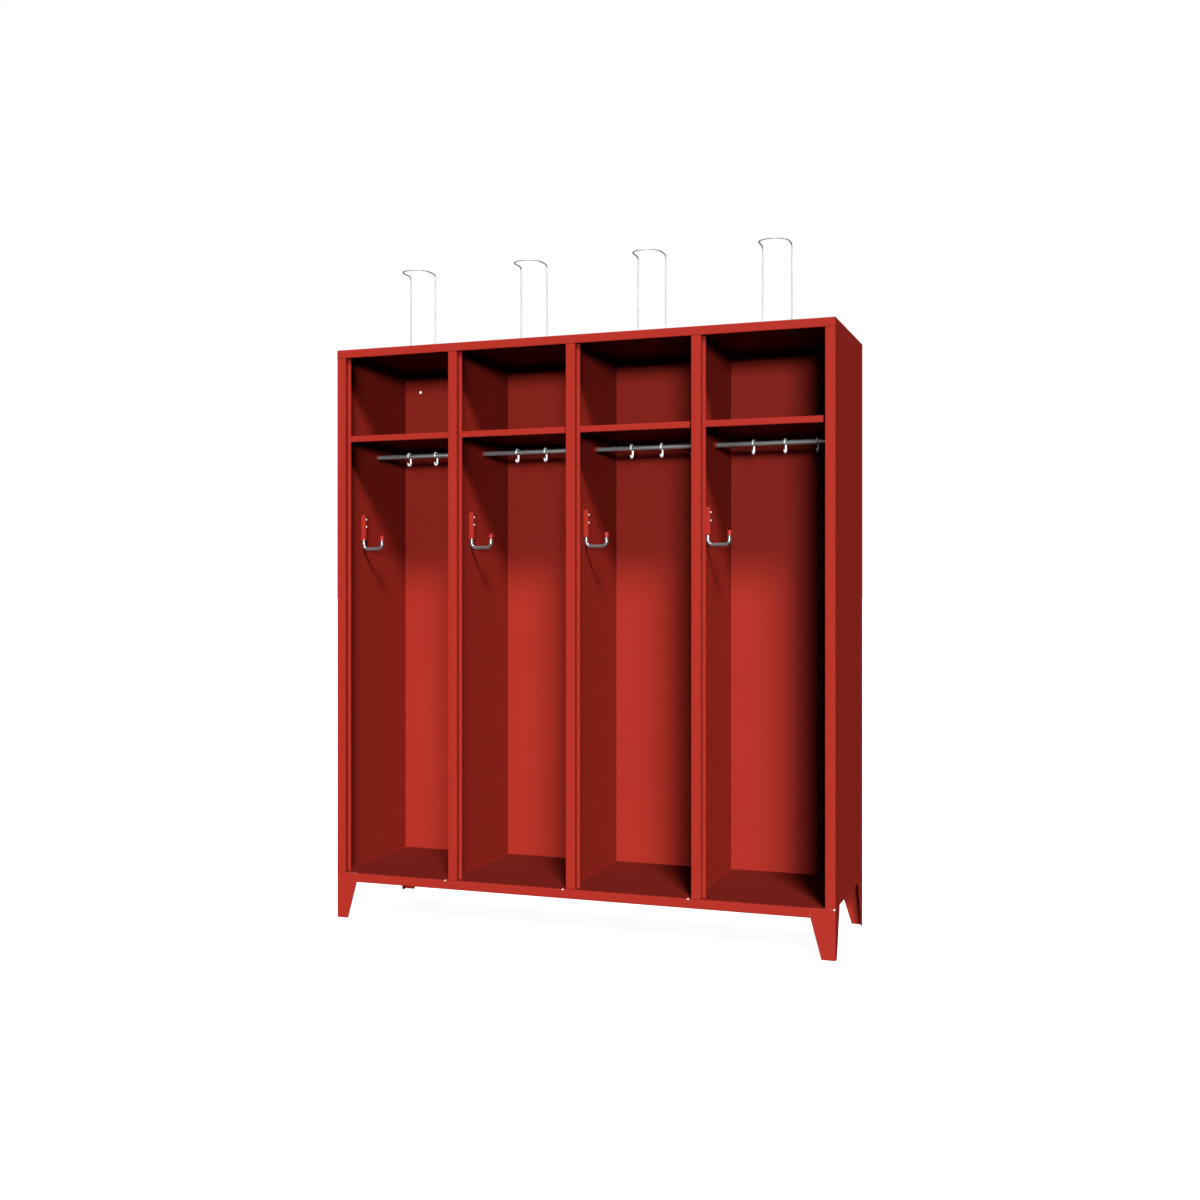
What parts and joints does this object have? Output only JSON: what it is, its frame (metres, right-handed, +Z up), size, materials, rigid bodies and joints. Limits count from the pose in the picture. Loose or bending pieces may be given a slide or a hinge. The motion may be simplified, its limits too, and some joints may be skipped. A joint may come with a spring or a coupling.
{
  "type": "school locker",
  "caption": "Open steel cloakroom locker with a row of compartments, each with hat shelf, hanging rail with sliding hooks, coat hook and helmet hoop, on tapered legs.",
  "frame": {"origin": "middle of the cabinet's footprint, on the floor", "axes": "+X to the right seen from the open front, -Y out of the open front, +Z up"},
  "size_m": [1.62, 0.5, 2.1175],
  "materials": {
    "red_powder_coat": "satin, fine orange-peel powder coat",
    "rail_tube": "dull zinc-plated tube",
    "hook_bar": "satin steel bar",
    "bright_wire": "bright plated wire",
    "red_cap": "semi-gloss moulded plastic"
  },
  "bodies": {
    "cabinet": {"left_side_panel": "red_powder_coat", "partition_1": "red_powder_coat", "partition_2": "red_powder_coat", "partition_3": "red_powder_coat", "right_side_panel": "red_powder_coat", "roof_panel": "red_powder_coat", "floor_panel": "red_powder_coat", "back_panel": "red_powder_coat", "front_base_rail": "red_powder_coat", "rear_base_rail": "red_powder_coat", "leg_front_left": "red_powder_coat", "leg_front_right": "red_powder_coat", "leg_rear_left": "red_powder_coat", "leg_rear_right": "red_powder_coat", "hat_shelf_1": "red_powder_coat", "hat_shelf_2": "red_powder_coat", "hat_shelf_3": "red_powder_coat", "hat_shelf_4": "red_powder_coat", "hanging_rail_1": "rail_tube", "hanging_rail_2": "rail_tube", "hanging_rail_3": "rail_tube", "hanging_rail_4": "rail_tube", "rail_socket_1_left": "red_powder_coat", "rail_socket_1_right": "red_powder_coat", "rail_socket_2_left": "red_powder_coat", "rail_socket_2_right": "red_powder_coat", "rail_socket_3_left": "red_powder_coat", "rail_socket_3_right": "red_powder_coat", "rail_socket_4_left": "red_powder_coat", "rail_socket_4_right": "red_powder_coat", "coat_hook_1": "hook_bar", "coat_hook_2": "hook_bar", "coat_hook_3": "hook_bar", "coat_hook_4": "hook_bar", "coat_hook_bracket_1": "red_powder_coat", "coat_hook_bracket_2": "red_powder_coat", "coat_hook_bracket_3": "red_powder_coat", "coat_hook_bracket_4": "red_powder_coat", "coat_hook_cap_1": "red_cap", "coat_hook_cap_2": "red_cap", "coat_hook_cap_3": "red_cap", "coat_hook_cap_4": "red_cap", "helmet_hoop_1": "bright_wire", "helmet_hoop_2": "bright_wire", "helmet_hoop_3": "bright_wire", "helmet_hoop_4": "bright_wire"},
    "hook_1_1": {"rail_hook_1_1": "bright_wire"},
    "hook_1_2": {"rail_hook_1_2": "bright_wire"},
    "hook_1_3": {"rail_hook_1_3": "bright_wire"},
    "hook_2_1": {"rail_hook_2_1": "bright_wire"},
    "hook_2_2": {"rail_hook_2_2": "bright_wire"},
    "hook_2_3": {"rail_hook_2_3": "bright_wire"},
    "hook_3_1": {"rail_hook_3_1": "bright_wire"},
    "hook_3_2": {"rail_hook_3_2": "bright_wire"},
    "hook_3_3": {"rail_hook_3_3": "bright_wire"},
    "hook_4_1": {"rail_hook_4_1": "bright_wire"},
    "hook_4_2": {"rail_hook_4_2": "bright_wire"},
    "hook_4_3": {"rail_hook_4_3": "bright_wire"}
  },
  "joints": [
    {"name": "hook_1_1_slide", "type": "slide", "parent": "cabinet", "child": "hook_1_1", "axis": [1, 0, 0], "range_m": [-0.11, 0.046]},
    {"name": "hook_1_2_slide", "type": "slide", "parent": "cabinet", "child": "hook_1_2", "axis": [1, 0, 0], "range_m": [-0.046, 0.046]},
    {"name": "hook_1_3_slide", "type": "slide", "parent": "cabinet", "child": "hook_1_3", "axis": [1, 0, 0], "range_m": [-0.046, 0.058]},
    {"name": "hook_2_1_slide", "type": "slide", "parent": "cabinet", "child": "hook_2_1", "axis": [1, 0, 0], "range_m": [-0.11, 0.046]},
    {"name": "hook_2_2_slide", "type": "slide", "parent": "cabinet", "child": "hook_2_2", "axis": [1, 0, 0], "range_m": [-0.046, 0.046]},
    {"name": "hook_2_3_slide", "type": "slide", "parent": "cabinet", "child": "hook_2_3", "axis": [1, 0, 0], "range_m": [-0.046, 0.058]},
    {"name": "hook_3_1_slide", "type": "slide", "parent": "cabinet", "child": "hook_3_1", "axis": [1, 0, 0], "range_m": [-0.11, 0.046]},
    {"name": "hook_3_2_slide", "type": "slide", "parent": "cabinet", "child": "hook_3_2", "axis": [1, 0, 0], "range_m": [-0.046, 0.046]},
    {"name": "hook_3_3_slide", "type": "slide", "parent": "cabinet", "child": "hook_3_3", "axis": [1, 0, 0], "range_m": [-0.046, 0.058]},
    {"name": "hook_4_1_slide", "type": "slide", "parent": "cabinet", "child": "hook_4_1", "axis": [1, 0, 0], "range_m": [-0.11, 0.046]},
    {"name": "hook_4_2_slide", "type": "slide", "parent": "cabinet", "child": "hook_4_2", "axis": [1, 0, 0], "range_m": [-0.046, 0.046]},
    {"name": "hook_4_3_slide", "type": "slide", "parent": "cabinet", "child": "hook_4_3", "axis": [1, 0, 0], "range_m": [-0.046, 0.087]}
  ]
}
